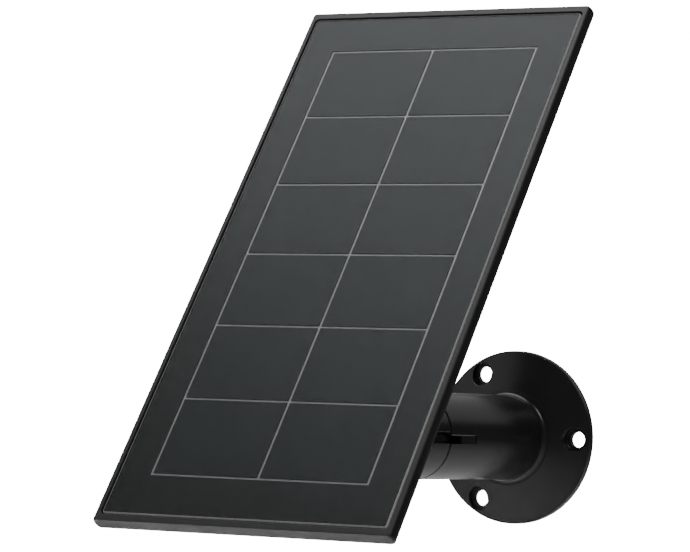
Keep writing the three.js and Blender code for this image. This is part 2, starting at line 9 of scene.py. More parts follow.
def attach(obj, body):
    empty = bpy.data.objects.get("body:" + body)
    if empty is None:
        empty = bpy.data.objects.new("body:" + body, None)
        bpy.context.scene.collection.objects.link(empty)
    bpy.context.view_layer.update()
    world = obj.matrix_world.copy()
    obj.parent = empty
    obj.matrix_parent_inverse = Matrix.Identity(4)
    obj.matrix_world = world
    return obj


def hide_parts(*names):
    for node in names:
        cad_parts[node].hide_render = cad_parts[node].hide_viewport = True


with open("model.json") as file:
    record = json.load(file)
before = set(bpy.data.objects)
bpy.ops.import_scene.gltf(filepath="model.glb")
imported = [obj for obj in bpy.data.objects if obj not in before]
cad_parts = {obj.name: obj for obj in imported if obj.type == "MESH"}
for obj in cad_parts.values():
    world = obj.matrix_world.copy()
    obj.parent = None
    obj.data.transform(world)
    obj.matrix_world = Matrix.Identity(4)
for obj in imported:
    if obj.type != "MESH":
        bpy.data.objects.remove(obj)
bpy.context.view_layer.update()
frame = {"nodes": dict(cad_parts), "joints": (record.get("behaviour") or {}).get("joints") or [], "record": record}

# Shapes are drawn in millimetres, each in the local frame of its sub-assembly, and placed in metres.
MM = 0.001
ROUND = 160
SMALL_ROUND = 64
COOL_GLOSS = (0.90, 0.98, 1.0, 1)

# ---------------------------------------------------------------- driving sizes, in millimetres

FLANGE_R = 28.7
FLANGE_RIM = 2.7
CROWN_R = 15.7
CROWN_HEIGHT = 7.0
HOLE_CIRCLE_R = 23.8
HOLE_R = 2.55
RECESS_R = 3.9
RECESS_FLOOR = 1.9
CORE_INNER_R = 12.5
CORE_OUTER_R = 18.8
CORE_DEPTH = 2.2
CORE_HALF_RIB = math.radians(4.5)
ARM_R = 13.9
ARM_BORE_R = 11.1
ARM_BORE_FLOOR = 8
ARM_END = 66.1
COLUMN_R = 5.5
COLUMN_END = 60.8
INSERT_R = 3.75
INSERT_FLOOR = 42
ARM_SLOT_WIDTH = 2.6
ARM_SLOT_Y = -0.9
ARM_SLOT_START = 59.7
GROOVE_START = 50.5
GROOVE_END = 60.0

HEAD_START = 66.7
HEAD_SHOULDER = 87.7
WEB_START = 61.9
WEB_END = 66.5
SWIVEL_HOLE_R = 2.7
SKIRT_START = 61.5
SKIRT_INNER_R = 9.0
SKIRT_R = 10.85
HEAD_FLOOR = 70.5
CUP_FLOOR = 76.8
CUP_R = 8.5
HEAD_SLOT_WIDTH = 3.5
HEAD_SLOT_Y = -0.3
HEAD_SLOT_FLOOR = 10.95
HEAD_SLOT_END = 108
RING_R = 15.5
RING_BORE_R = 13.05
RING_START = 88.2
RING_END = 98.3
RING_RIBS = 18
COLLET_R = 12.75
SOCKET_R = 11.15
SOCKET_LIP = math.radians(70)
BALL_CENTRE = 96.0
BALL_R = 11.0
NECK_R = 3.9
NECK_ROOT_R = 4.5
NECK_END = 16.2
STUD_R = 3.15
STUD_START = 2.4
STUD_END = 33.3
STUD_PITCH = 1.27
STUD_HOLE_R = 3.25
NUT_R = 10.0
NUT_BORE_R = 3.35
NUT_START = 17.0
NUT_END = 23.2
NUT_RIBS = 12

FRONT_TO_BALL = 43.3
STUD_BELOW_CENTRE = 36.2
HALF_HEIGHT = 102.2
FLAT_HALF_WIDTH = 49.35
SIDE_BULGE = 1.2
THICKNESS = 4.4
FLOOR = -2.7
POCKET_X = 48.3
POCKET_Y = 99.9
POCKET_SHIFT = -0.1
POCKET_R = 1.5
LEAD_SLOT_Y = 21.0

BAY_X = 32.0
BAY_Y = 40.0
BAY_R = 8.0
BAY_WALL = 1.8
BAY_FRONT = -4.9
BAY_BACK = -16.5
BOSS_R = 9.0
BOSS_END = -19.8
SCREW_X = 25.0
SCREW_Y = 33.0
VENT_X = 19
VENT_Y = -24
GLAND_Z = -9.8

FLOOR_LEVEL = -0.34  # metres
PHOTO_WIDTH = 690  # pixels

# ---------------------------------------------------------------- local frames

spin = next(joint for joint in frame["joints"] if joint["name"] == "panel_spin")
normal = Vector(spin["axis"]).normalized()
right = Vector((0, 0, 1)).cross(normal).normalized()
up = normal.cross(right)
turn = Matrix((right, up, normal)).transposed().to_4x4()

# ARM: +Z out of the wall along the arm. PIVOT: +Z along the stud from the ball's centre.
# PANEL: +Z out of the panel's face from the middle of its front plane.
# BAY: the same, from the point where the stud's axis meets that plane.
ARM = Matrix.Scale(MM, 4) @ Matrix.Rotation(math.pi / 2, 4, "X")
PIVOT = Matrix.Translation(spin["pos_m"]) @ turn @ Matrix.Scale(MM, 4)
PANEL = PIVOT @ Matrix.Translation((0, STUD_BELOW_CENTRE, FRONT_TO_BALL))
BAY = PIVOT @ Matrix.Translation((0, 0, FRONT_TO_BALL))

# ---------------------------------------------------------------- mesh building


def new_piece(name, points, faces, place):
    """Mesh object whose points are given in a local frame."""
    mesh = bpy.data.meshes.new(name)
    mesh.from_pydata([place @ Vector(point) for point in points], [], faces)
    mesh.validate()
    piece = bpy.data.objects.new(name, mesh)
    bpy.context.scene.collection.objects.link(piece)
    shell = bmesh.new()
    shell.from_mesh(mesh)
    bmesh.ops.recalc_face_normals(shell, faces=shell.faces)
    shell.to_mesh(mesh)
    shell.free()
    return piece


def loft(name, loops, place, closed=False):
    """Skin through loops of equally many points: closed on itself, or capped at both ends."""
    count = len(loops[0])
    points = [point for loop in loops for point in loop]
    faces = []
    rows = len(loops) if closed else len(loops) - 1
    for row in range(rows):
        low = row * count
        high = ((row + 1) % len(loops)) * count
        for i in range(count):
            j = (i + 1) % count
            faces.append((low + i, low + j, high + j, high + i))
    if not closed:
        faces.append(tuple(range(count)))
        faces.append(tuple(range(len(points) - count, len(points))))
    return new_piece(name, points, faces, place)


def soften(outline, closed=False, steps=4):
    """Outline of (a, b) or (a, b, radius) points with an arc in place of each corner that has a radius."""
    result = []
    count = len(outline)
    for i, corner in enumerate(outline):
        here = Vector(corner[:2])
        radius = corner[2] if len(corner) > 2 else 0
        at_end = not closed and i in (0, count - 1)
        if radius == 0 or at_end:
            result.append(tuple(here))
            continue
        before = Vector(outline[i - 1][:2]) - here
        after = Vector(outline[(i + 1) % count][:2]) - here
        half_angle = before.angle(after) / 2
        reach = min(radius / math.tan(half_angle), 0.48 * before.length, 0.48 * after.length)
        start = here + before.normalized() * reach
        end = here + after.normalized() * reach
        for step in range(steps + 1):
            t = step / steps
            weight = 2 * t * (1 - t) * math.cos(math.pi / 2 - half_angle)
            total = (1 - t) ** 2 + weight + t ** 2
            point = (start * (1 - t) ** 2 + here * weight + end * t ** 2) / total
            result.append(tuple(point))
    return result


def arc(centre, radius, start, end, steps):
    """Points (a, b) on an arc, with its angles in radians."""
    angles = [start + (end - start) * i / steps for i in range(steps + 1)]
    return [(centre[0] + radius * math.cos(a), centre[1] + radius * math.sin(a)) for a in angles]


def circle(radius, z, sides, x=0.0, y=0.0):
    angles = [2 * math.pi * i / sides for i in range(sides)]
    return [(x + radius * math.cos(a), y + radius * math.sin(a), z) for a in angles]


def lathe(name, outline, place, sides=ROUND, closed=False):
    """Solid of revolution from (radius, z) points: a ring, or capped flat at both ends."""
    return loft(name, [circle(radius, z, sides) for radius, z in outline], place, closed)


def rectangle(half_x, half_y, radius, z, y=0.0, corner_steps=8):
    """Loop of a rectangle with round corners."""
    loop = []
    for quarter, (side_x, side_y) in enumerate(((1, 1), (-1, 1), (-1, -1), (1, -1))):
        centre = (side_x * (half_x - radius), y + side_y * (half_y - radius))
        start = quarter * math.pi / 2
        corner = arc(centre, radius, start, start + math.pi / 2, corner_steps)
        loop.extend((a, b, z) for a, b in corner)
    return loop


def prism(name, loop, z0, z1, place):
    """Straight solid over a flat loop of (x, y) points."""
    return loft(name, [[(x, y, z) for x, y in loop] for z in (z0, z1)], place)


def freeze(piece):
    """Makes the result of a piece's modifiers its own mesh."""
    graph = bpy.context.evaluated_depsgraph_get()
    mesh = bpy.data.meshes.new_from_object(piece.evaluated_get(graph))
    piece.modifiers.clear()
    piece.data = mesh
    return piece


def carve(piece, tools, operation="DIFFERENCE"):
    """Cuts tools out of a piece, or joins them to it, and removes them."""
    for tool in tools:
        modifier = piece.modifiers.new("carve", "BOOLEAN")
        modifier.operation = operation
        modifier.solver = "EXACT"
        modifier.object = tool
    freeze(piece)
    for tool in tools:
        bpy.data.objects.remove(tool)
    return piece


def smooth(piece, sharp_angle=35):
    """Smooth shading with creases, and flats that stay flat beside small rounds."""
    mesh = piece.data
    mesh.polygons.foreach_set("use_smooth", [True] * len(mesh.polygons))
    mesh.set_sharp_from_angle(angle=math.radians(sharp_angle))
    weighted = piece.modifiers.new("flats", "WEIGHTED_NORMAL")
    weighted.keep_sharp = True
    return piece


def install(piece, body, material, slot, *nodes):
    """Gives a finished piece its material and body, and hides the CAD nodes that it stands for. The slot is not
    used.
    """
    piece.data.materials.clear()
    piece.data.materials.append(material)
    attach(piece, body)
    if nodes:
        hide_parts(*nodes)
    return piece


# ---------------------------------------------------------------- materials


class Nodes:
    """A material's node tree, with short calls for the nodes that the finishes share."""

    def __init__(self, name):
        self.material = bpy.data.materials.new(name)
        self.material.use_nodes = True
        self.tree = self.material.node_tree
        self.shader = self.tree.nodes["Principled BSDF"]
        self.place = self.tree.nodes.new("ShaderNodeTexCoord").outputs["Object"]

    def set(self, **values):
        for key, value in values.items():
            self.shader.inputs[key.replace("_", " ")].default_value = value

    def link(self, source, target):
        self.tree.links.new(source, target)

    def noise(self, scale, detail=3.0, roughness=0.55, stretch=None):
        """Noise over the object, its scale in features per metre, optionally stretched along an axis."""
        node = self.tree.nodes.new("ShaderNodeTexNoise")
        node.inputs["Scale"].default_value = scale
        node.inputs["Detail"].default_value = detail
        node.inputs["Roughness"].default_value = roughness
        place = self.place
        if stretch:
            mapping = self.tree.nodes.new("ShaderNodeMapping")
            mapping.inputs["Scale"].default_value = stretch
            self.link(place, mapping.inputs["Vector"])
            place = mapping.outputs["Vector"]
        self.link(place, node.inputs["Vector"])
        return node.outputs["Fac"]

    def cells(self, scale):
        node = self.tree.nodes.new("ShaderNodeTexVoronoi")
        node.inputs["Scale"].default_value = scale
        self.link(self.place, node.inputs["Vector"])
        return node.outputs["Distance"]

    def ramp(self, source, stops):
        """Colour ramp from (position, colour) stops."""
        node = self.tree.nodes.new("ShaderNodeValToRGB")
        ramp = node.color_ramp
        while len(ramp.elements) < len(stops):
            ramp.elements.new(0.5)
        for element, (position, colour) in zip(ramp.elements, stops):
            element.position = position
            element.color = (*colour, 1)
        self.link(source, node.inputs["Fac"])
        return node.outputs["Color"]

    def span(self, source, low, high, start=0.3, end=0.7):
        """A noise output stretched from start..end to low..high."""
        node = self.tree.nodes.new("ShaderNodeMapRange")
        node.inputs["From Min"].default_value = start
        node.inputs["From Max"].default_value = end
        node.inputs["To Min"].default_value = low
        node.inputs["To Max"].default_value = high
        self.link(source, node.inputs["Value"])
        return node.outputs["Result"]

    def add(self, first, second, share=0.5):
        node = self.tree.nodes.new("ShaderNodeMath")
        node.operation = "MULTIPLY_ADD"
        node.inputs[1].default_value = share
        self.link(second, node.inputs[0])
        self.link(first, node.inputs[2])
        return node.outputs["Value"]

    def bump(self, height, depth, strength=1.0):
        """Bump from a height signal whose full range is depth metres."""
        node = self.tree.nodes.new("ShaderNodeBump")
        node.inputs["Strength"].default_value = strength
        node.inputs["Distance"].default_value = depth
        self.link(height, node.inputs["Height"])
        self.link(node.outputs["Normal"], self.shader.inputs["Normal"])


def moulded_plastic(name, dark, light, low_gloss, high_gloss, grain=2600, depth=0.00003):
    """Moulded plastic: fine spark texture, faint mottling, and rubbed patches that shine more."""
    finish = Nodes(name)
    mottle = finish.noise(55, detail=4)
    texture = finish.noise(grain, detail=2)
    rubbed = finish.noise(160, detail=5, roughness=0.65)
    finish.link(finish.ramp(mottle, ((0.3, dark), (0.7, light))), finish.shader.inputs["Base Color"])
    finish.link(finish.span(rubbed, low_gloss, high_gloss), finish.shader.inputs["Roughness"])
    finish.bump(finish.add(texture, mottle, 0.4), depth)
    finish.set(IOR=1.5)
    return finish.material


def grey(level, tint=(1.0, 1.0, 1.0)):
    return tuple(level * share for share in tint)


def metal(name, colour, worn, roughness, grain=(40, 40, 900)):
    """Turned or drawn metal: fine streaks along one axis and a little staining."""
    finish = Nodes(name)
    streaks = finish.noise(60, detail=3, stretch=grain)
    stain = finish.noise(220, detail=4)
    finish.link(finish.ramp(stain, ((0.35, worn), (0.65, colour))), finish.shader.inputs["Base Color"])
    finish.link(finish.span(streaks, roughness * 0.75, roughness * 1.3), finish.shader.inputs["Roughness"])
    finish.bump(streaks, 0.00001)
    finish.set(Metallic=1.0)
    return finish.material


def rubber(name, level):
    finish = Nodes(name)
    dust = finish.noise(420, detail=5, roughness=0.7)
    finish.link(finish.ramp(dust, ((0.35, grey(level)), (0.75, grey(level * 1.8)))),
                finish.shader.inputs["Base Color"])
    finish.link(finish.span(dust, 0.7, 0.92), finish.shader.inputs["Roughness"])
    finish.bump(dust, 0.00004)
    return finish.material


BLACK = moulded_plastic("satin_black", grey(0.017), grey(0.021), 0.20, 0.26)
FRAME = moulded_plastic("frame_black", grey(0.013), grey(0.017), 0.40, 0.46)
NYLON = moulded_plastic("nylon", grey(0.55, (1, 0.97, 0.9)), grey(0.65, (1, 0.97, 0.9)), 0.4, 0.55, 900)
RUBBER = rubber("black_rubber", 0.012)
STEEL = metal("stainless_steel", grey(0.62), grey(0.5), 0.3)
DARK_STEEL = metal("black_oxide_steel", grey(0.06), grey(0.1), 0.38)
BRASS = metal("brass", (0.62, 0.44, 0.18), (0.5, 0.34, 0.14), 0.3)
COPPER = metal("tinned_copper", (0.62, 0.36, 0.2), (0.5, 0.3, 0.18), 0.32)


def front_sheet_material():
    """Clear sheet with a low-glare front: very fine ripple and faint smears."""
    finish = Nodes("clear_sheet")
    smears = finish.noise(18, detail=5, roughness=0.6)
    finish.link(finish.span(smears, 0.30, 0.34), finish.shader.inputs["Roughness"])
    finish.bump(finish.noise(900, detail=2), 0.000002)
    finish.set(IOR=1.5, Alpha=0.06, Specular_Tint=COOL_GLOSS)
    finish.shader.inputs["Base Color"].default_value = (0.012, 0.013, 0.013, 1)
    return finish.material


def solar_cell_material():
    """Dark silicon: slow colour drift within each cell and a very fine etched grain."""
    finish = Nodes("silicon_cell")
    drift = finish.noise(24, detail=3)
    etch = finish.cells(5200)
    finish.link(
        finish.ramp(drift, ((0.3, (0.005, 0.008, 0.009)), (0.7, (0.008, 0.011, 0.012)))),
        finish.shader.inputs["Base Color"],
    )
    finish.link(finish.span(etch, 0.32, 0.42, 0.0, 0.6), finish.shader.inputs["Roughness"])
    finish.bump(etch, 0.000006)
    finish.set(Specular_Tint=COOL_GLOSS)
    return finish.material


def laminate_material(name, low, high, index=1.5):
    """Laminate film, or the pale resin rim at its edge whose light colour is a painted highlight, with a faint
    woven scrim.
    """
    finish = Nodes(name)
    weave = finish.noise(1500, detail=2)
    finish.link(finish.ramp(weave, ((0.35, low), (0.65, high))), finish.shader.inputs["Base Color"])
    finish.link(finish.span(weave, 0.34, 0.42), finish.shader.inputs["Roughness"])
    finish.bump(weave, 0.00001)
    finish.set(IOR=index, Specular_Tint=COOL_GLOSS)
    return finish.material


def board_material():
    finish = Nodes("solder_mask")
    tracks = finish.cells(420)
    green = ((0.05, (0.02, 0.12, 0.05)), (0.25, (0.01, 0.06, 0.028)))
    finish.link(finish.ramp(tracks, green), finish.shader.inputs["Base Color"])
    finish.link(finish.span(tracks, 0.25, 0.4, 0.0, 0.5), finish.shader.inputs["Roughness"])
    finish.bump(tracks, 0.00003)
    return finish.material


SHEET = front_sheet_material()
CELL = solar_cell_material()
FILM = laminate_material("border_film", grey(0.006, (0.9, 1, 1)), grey(0.010, (0.9, 1, 1)))
BACKING = laminate_material("backing_film", grey(0.33), grey(0.39), 2.62)
# The rim's pale grey is a painted highlight: it stands in for the lit inner edge of the pocket around the sheet.
PAINTED_HIGHLIGHT_RESIN = laminate_material("edge_resin_painted_highlight", grey(0.56), grey(0.66))
BOARD = board_material()

# ---------------------------------------------------------------- wall bracket and swivel head


def flange_hole(angle):
    """Cutters for one screw hole: the stepped hole, and a bevel that lies along the cone's slope."""
    x = HOLE_CIRCLE_R * math.cos(angle)
    y = HOLE_CIRCLE_R * math.sin(angle)
    place = ARM @ Matrix.Translation((x, y, 0))
    stepped = lathe("hole", soften([
        (HOLE_R + 0.3, -1),
        (HOLE_R + 0.3, -0.05, 0.05),
        (HOLE_R, 0.25, 0.1),
        (HOLE_R, RECESS_FLOOR - 0.15, 0.05),
        (HOLE_R + 0.15, RECESS_FLOOR, 0.05),
        (RECESS_R, RECESS_FLOOR, 0.25),
        (RECESS_R, CROWN_HEIGHT + 3),
    ], steps=3), place, SMALL_ROUND)
    slope = math.atan2(CROWN_HEIGHT - FLANGE_RIM, FLANGE_R - 0.5 - CROWN_R)
    surface = FLANGE_RIM + (FLANGE_R - 0.5 - HOLE_CIRCLE_R) * math.tan(slope)
    tilted = ARM @ Matrix.Rotation(angle, 4, "Z") @ Matrix.Translation((HOLE_CIRCLE_R, 0, surface))
    tilted = tilted @ Matrix.Rotation(slope, 4, "Y") @ Matrix.Diagonal((1 / math.cos(slope), 1, 1, 1))
    bevel = lathe("bevel", [(RECESS_R - 0.3, -0.32), (RECESS_R - 0.02, -0.30), (RECESS_R + 0.1, -0.13),
                            (RECESS_R + 0.3, 0.0), (RECESS_R + 0.6, 0.1)], tilted, SMALL_ROUND)
    return [stepped, bevel]


def flange_core(start, end):
    """One pocket in the flange's back, between two ribs."""
    steps = 14
    outer = arc((0, 0), CORE_OUTER_R, start, end, steps)
    inner = arc((0, 0), CORE_INNER_R, end, start, steps)
    return prism("core", outer + inner, -1, CORE_DEPTH, ARM)


def slot_cutter(width, height, start, end, floor, outer, side=1, flare=0.0):
    """Cutter for a slot along the arm at a height, from the radius floor to outer, where it may flare."""
    near, far = width / 2, width / 2 + flare
    loop = [
        (side * floor, height - near),
        (side * outer, height - far),
        (side * outer, height + far),
        (side * floor, height + near),
    ]
    return prism("slot", loop, start, end, ARM)


def make_wall_bracket():
    fillet = CROWN_R - ARM_R
    outline = soften([
        (12, 0),
        (FLANGE_R, 0, 0.25),
        (FLANGE_R, FLANGE_RIM, 0.7),
        (FLANGE_R - 0.6, FLANGE_RIM + 0.02, 0.3),
        (CROWN_R + 0.1, CROWN_HEIGHT, 0.12),
        *arc((CROWN_R, CROWN_HEIGHT + fillet), fillet, 1.5 * math.pi, math.pi, 10),
        (ARM_R, ARM_END, 0.35),
        (ARM_BORE_R, ARM_END, 0.2),
        (ARM_BORE_R, ARM_BORE_FLOOR, 0.8),
        (COLUMN_R, ARM_BORE_FLOOR, 0.8),
        (COLUMN_R, COLUMN_END, 0.2),
        (INSERT_R, COLUMN_END, 0.2),
        (INSERT_R, INSERT_FLOOR),
    ])
    piece = lathe("wall_bracket_body", outline, ARM)
    cutters = []
    for i in range(3):
        cutters += flange_hole(2 * math.pi * i / 3)
    for i in range(6):
        cutters.append(flange_core(math.pi * i / 3 + CORE_HALF_RIB, math.pi * (i + 1) / 3 - CORE_HALF_RIB))
    cutters += [
        slot_cutter(ARM_SLOT_WIDTH, ARM_SLOT_Y, ARM_SLOT_START, ARM_END + 1, ARM_BORE_R - 0.5, ARM_R + 1),
        slot_cutter(ARM_SLOT_WIDTH, ARM_SLOT_Y, GROOVE_START, GROOVE_END, ARM_R - 0.26, ARM_R + 0.3,
                    flare=0.7),
        slot_cutter(ARM_SLOT_WIDTH, ARM_SLOT_Y, ARM_SLOT_START, ARM_END + 1, ARM_R - 0.3, ARM_R + 0.3,
                    flare=0.75),
    ]
    return smooth(carve(piece, cutters))


def make_clamp_head():
    lip = math.pi / 2 - SOCKET_LIP
    outline = soften([
        (SWIVEL_HOLE_R, WEB_START),
        (COLUMN_R, WEB_START, 0.2),
        (COLUMN_R, WEB_END, 0.5),
        (SKIRT_INNER_R, WEB_END, 0.5),
        (SKIRT_INNER_R, SKIRT_START, 0.2),
        (SKIRT_R, SKIRT_START, 0.3),
        (SKIRT_R, HEAD_START),
        (ARM_R, HEAD_START, 0.35),
        (ARM_R, HEAD_SHOULDER, 0.4),
        (COLLET_R, HEAD_SHOULDER, 0.1),
        (COLLET_R, 98.6, 0.6),
        (COLLET_R - 0.9, BALL_CENTRE + SOCKET_R * math.sin(lip), 0.3),
        *arc((0, BALL_CENTRE), SOCKET_R, lip, 0, 8),
        (SOCKET_R, CUP_FLOOR),
        (CUP_R, CUP_FLOOR),
        (CUP_R, HEAD_FLOOR),
        (SWIVEL_HOLE_R, HEAD_FLOOR),
    ], closed=True)
    piece = lathe("clamp_head_body", outline, ARM, closed=True)
    cutters = []
    for side in (1, -1):
        cutters.append(slot_cutter(HEAD_SLOT_WIDTH, HEAD_SLOT_Y, HEAD_START - 1, HEAD_SLOT_END,
                                   HEAD_SLOT_FLOOR, ARM_R + 1, side))
        cutters.append(slot_cutter(HEAD_SLOT_WIDTH, HEAD_SLOT_Y, HEAD_START - 1, HEAD_SHOULDER - 0.1,
                                   ARM_R - 0.3, ARM_R + 0.3, side, 0.6))
    return smooth(carve(piece, cutters))


def grip_wheel(name, outer, bore, z0, z1, ribs, depth, place):
    """Turned ring whose rim is a row of rounded grip ribs."""
    outline = soften([
        (bore, z0, 0.3),
        (outer, z0, 1.0),
        (outer, z1, 1.0),
        (bore, z1, 0.3),
    ], closed=True, steps=6)
    sides = ribs * 16
    rib_zone = 1.6
    loops = []
    for radius, z in outline:
        share = max(0.0, (radius - (outer - rib_zone)) / rib_zone)
        loop = []
        for i in range(sides):
            angle = 2 * math.pi * i / sides
            wave = 0.5 - 0.5 * math.cos(ribs * angle)
            local = radius - depth * share * wave ** 3
            loop.append((local * math.cos(angle), local * math.sin(angle), z))
        loops.append(loop)
    return smooth(loft(name, loops, place, closed=True))


install(make_wall_bracket(), "bracket", BLACK, "black_plastic", "wall_bracket")
install(make_clamp_head(), "head", BLACK, "black_plastic", "clamp_head")
ring = grip_wheel("lock_ring_body", RING_R, RING_BORE_R, RING_START, RING_END, RING_RIBS, 0.8, ARM)
install(ring, "locking", BLACK, "black_plastic", "lock_ring")

# ---------------------------------------------------------------- ball, stud and thumb nut


def make_ball():
    neck = math.acos(NECK_ROOT_R / BALL_R)
    outline = soften([
        *arc((0, 0), BALL_R, -math.pi / 2 + 0.01, neck, 40),
        (NECK_R, 12.2, 1.0),
        (NECK_R, NECK_END, 0.3),
        (STUD_HOLE_R, NECK_END),
        (STUD_HOLE_R, STUD_START - 0.2),
    ], steps=6)
    return smooth(lathe("pivot_ball_body", outline, PIVOT, 128))


def make_stud():
    """Stud with a real helical thread, faded out at its tip and at the ball."""
    crest, depth, sides, rows = STUD_R - 0.05, 0.55, 48, 12
    loops = [circle(crest - depth, STUD_START, sides)]
    count = round((STUD_END - STUD_START - 1) * rows / STUD_PITCH)
    for row in range(1, count):
        z = STUD_START + 0.5 + (STUD_END - STUD_START - 1) * row / count
        fade = min(1.0, (z - STUD_START) / 2, (STUD_END - z) / 1.2)
        loop = []
        for i in range(sides):
            angle = 2 * math.pi * i / sides
            phase = (z / STUD_PITCH - i / sides) % 1
            groove = 1 - abs(2 * phase - 1)
            radius = crest - depth * (1 - fade * min(1.0, 1.25 * groove))
            loop.append((radius * math.cos(angle), radius * math.sin(angle), z))
        loops.append(loop)
    loops.append(circle(crest - depth - 0.3, STUD_END, sides))
    return smooth(loft("mount_stud_threaded", loops, PIVOT), 60)


install(make_ball(), "ball", BLACK, "black_plastic", "pivot_ball")
install(make_stud(), "ball", STEEL, "steel", "mount_stud")
nut = grip_wheel("thumb_nut_body", NUT_R, NUT_BORE_R, NUT_START, NUT_END, NUT_RIBS, 1.1, PIVOT)
install(nut, "jam_nut", BLACK, "black_plastic", "thumb_nut")

# ---------------------------------------------------------------- panel


def make_frame():
    """Tray with elliptical long sides, flat cut ends and a recess for the sheet."""
    half = THICKNESS / 2
    edge = 0.15
    loops = []
    steps = 18
    for i in range(steps + 1):
        angle = math.pi / 2 - math.pi * i / steps
        z = -half + half * math.sin(angle)
        x = FLAT_HALF_WIDTH + SIDE_BULGE * math.cos(angle)
        depth_in = min(-z, z + THICKNESS)
        inset = edge - math.sqrt(max(0.0, edge ** 2 - (edge - min(depth_in, edge)) ** 2))
        loops.append(rectangle(x, HALF_HEIGHT - inset, 0.8, z))
    back = loops.pop()
    loops.append([(x * 0.999, y, z) for x, y, z in back])
    lip = 0.16
    inner = []
    for i in range(5):
        angle = math.pi / 2 * i / 4
        grow = lip * (1 - math.sin(angle))
        inner.append(rectangle(POCKET_X + grow, POCKET_Y + grow, POCKET_R + grow,
                               -lip * (1 - math.cos(angle)), POCKET_SHIFT))
    inner.append(rectangle(POCKET_X, POCKET_Y, POCKET_R, FLOOR, POCKET_SHIFT))
    piece = loft("front_frame_body", list(reversed(loops)) + inner, PANEL)
    slot_y = LEAD_SLOT_Y - STUD_BELOW_CENTRE
    slot = loft("slot", [rectangle(7, 2.2, 0.6, z, slot_y) for z in (-THICKNESS - 1, FLOOR + 1)], PANEL)
    return smooth(carve(piece, [slot]), 30)


def make_front_sheet():
    inset = 0.9
    half_x, half_y, radius = POCKET_X - inset, POCKET_Y - inset, POCKET_R - inset
    loops = []
    for z, grow in ((-0.1, -0.04), (-0.06, 0), (0.05, 0), (0.09, -0.02), (0.1, -0.07)):
        loops.append(rectangle(half_x + grow, half_y + grow, radius + grow, z, POCKET_SHIFT))
    return smooth(loft("front_sheet_pane", loops, PANEL), 50)


def make_laminate_edge():
    """Bevelled resin rim that closes the edge of the laminate, with a gap to the frame; its pale colour is a
    painted highlight for the lit edge of the pocket.
    """
    loops = []
    section = (
        (0.5, -1.25), (0.5, -0.5), (0.52, -0.44), (0.78, -0.02), (0.81, 0.0),
        (0.84, -0.03), (0.84, -0.42), (0.72, -0.44), (0.72, -1.25),
    )
    for inset, z in section:
        loops.append(rectangle(POCKET_X - inset, POCKET_Y - inset, POCKET_R - inset, z, POCKET_SHIFT))
    return smooth(loft("laminate_edge", loops, PANEL, closed=True), 30)


def bay_loop(inset, z):
    return rectangle(BAY_X - inset, BAY_Y - inset, BAY_R - inset, z)


def make_rear_housing():
    edge, draft = 1.6, 0.25
    loops = [bay_loop(0.1, BAY_FRONT), bay_loop(0.0, BAY_FRONT - 0.1), bay_loop(draft, BAY_BACK + edge)]
    for i in range(1, 7):
        angle = math.pi / 2 * i / 6
        loops.append(bay_loop(draft + edge * (1 - math.cos(angle)), BAY_BACK + edge * (1 - math.sin(angle))))
    shell = loft("rear_housing_shell", loops, BAY)
    inner = [bay_loop(BAY_WALL, BAY_FRONT + 1), bay_loop(BAY_WALL, BAY_BACK + BAY_WALL + 0.5),
             bay_loop(BAY_WALL + 0.5, BAY_BACK + BAY_WALL)]
    carve(shell, [loft("hollow", inner, BAY)])

    flat = BAY_BACK + 0.4
    boss = lathe("boss", soften([
        (BOSS_R + 1.2, flat),
        (BOSS_R + 1.2, BAY_BACK, 0.1),
        (BOSS_R, BAY_BACK - 0.9, 0.8),
        (BOSS_R, BOSS_END, 0.5),
        (5, BOSS_END),
    ]), BAY, 96)
    joined = [boss, lathe("tower", [(6.8, flat), (6.8, -7.4)], BAY, SMALL_ROUND)]
    for i in range(8):
        gusset = Matrix.Rotation(math.pi / 4 * (i + 0.5), 4, "Z")
        side = [
            (BOSS_R - 1, BOSS_END + 0.5),
            (BOSS_R + 5.5, BAY_BACK - 0.2),
            (BOSS_R + 5.5, flat),
            (BOSS_R - 1, flat),
        ]
        rows = [[(a, b, c) for a, c in side] for b in (-0.6, 0.6)]
        joined.append(loft("gusset", rows, BAY @ gusset))
    cutters = [lathe("pocket", [(4.3, BOSS_END - 1), (4.3, -8.8)], BAY, SMALL_ROUND)]
    for x in (-SCREW_X, SCREW_X):
        for y in (-SCREW_Y, SCREW_Y):
            at = BAY @ Matrix.Translation((x, y, 0))
            joined.append(lathe("column", [(3.6, flat), (3.6, -11.8)], at, 40))
            cutters.append(lathe("screw_hole", [
                (3.25, BAY_BACK - 1),
                (3.25, BAY_BACK - 0.05),
                (2.9, BAY_BACK + 0.3),
                (2.9, -14.6),
                (1.7, -14.6),
                (1.7, -11),
            ], at, 40))
    vent = BAY @ Matrix.Translation((VENT_X, VENT_Y, 0))
    cutters.append(lathe("vent_hole", [(3.0, BAY_BACK - 1), (3.0, BAY_BACK + 3)], vent, 40))
    gland = BAY @ Matrix.Translation((0, -BAY_Y, GLAND_Z)) @ Matrix.Rotation(math.pi / 2, 4, "X")
    cutters.append(lathe("gland_hole", [(4.25, -3), (4.25, 3)], gland, 48))
    carve(shell, joined, "UNION")
    return smooth(carve(shell, cutters))


def make_screw_head(name, x, y):
    """Pan head with a cross recess, and its shank."""
    outline = soften([
        (1.0, -16.3), (1.9, -16.15, 0.8), (2.6, -15.4, 0.4), (2.6, -14.8, 0.1),
        (1.25, -14.8), (1.25, -6.4), (0.8, -6.2),
    ])
    place = BAY @ Matrix.Translation((x, y, 0))
    screw = lathe(name, outline, place, 48)
    bars = []
    for turned in (0.4, 0.4 + math.pi / 2):
        spot = place @ Matrix.Rotation(turned, 4, "Z")
        bars.append(loft("bar", [[(-a, -0.28, z), (a, -0.28, z), (a, 0.28, z), (-a, 0.28, z)]
                                 for a, z in ((1.5, -17), (1.35, -16.1), (0.5, -15.1))], spot))
    return smooth(carve(screw, bars))


